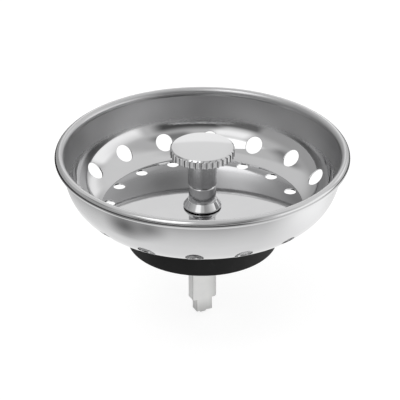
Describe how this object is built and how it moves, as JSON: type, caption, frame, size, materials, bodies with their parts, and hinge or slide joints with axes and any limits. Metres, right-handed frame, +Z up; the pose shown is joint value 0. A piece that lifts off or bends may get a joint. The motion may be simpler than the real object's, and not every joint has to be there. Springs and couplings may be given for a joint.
{
  "type": "sink plug",
  "caption": "Kitchen sink basket plug: a perforated pressed steel cup turning on a knobbed post, with a rubber stopper and a stepped blade stem below.",
  "frame": {"origin": "middle of the flat end of the pip at the end of the stem, the lowest point of the plug, on the post's axis", "axes": "+Z up the post's axis to the knob; +X to the right and +Y away from the viewer as the picture shows the plug"},
  "size_m": [0.0824, 0.0824, 0.0536],
  "materials": {
    "pressed_steel": "satin wall, polished floor",
    "chrome_plate": "bright plated",
    "plain_steel": "plain zinc plated",
    "black_rubber": "moulded, matte",
    "pale_nylon": "moulded, satin"
  },
  "bodies": {
    "basket": {"basket": "pressed_steel"},
    "post": {"knob": "chrome_plate", "post_collar": "chrome_plate", "post_stud": "plain_steel", "rubber_stopper": "black_rubber", "stopper_washer": "plain_steel", "lock_nut": "plain_steel", "stem": "pale_nylon"}
  },
  "joints": [
    {"name": "post_turn", "type": "hinge", "parent": "basket", "child": "post", "pos_m": [0, 0, 0.03448], "axis": [0, 0, 1], "continuous": true}
  ]
}
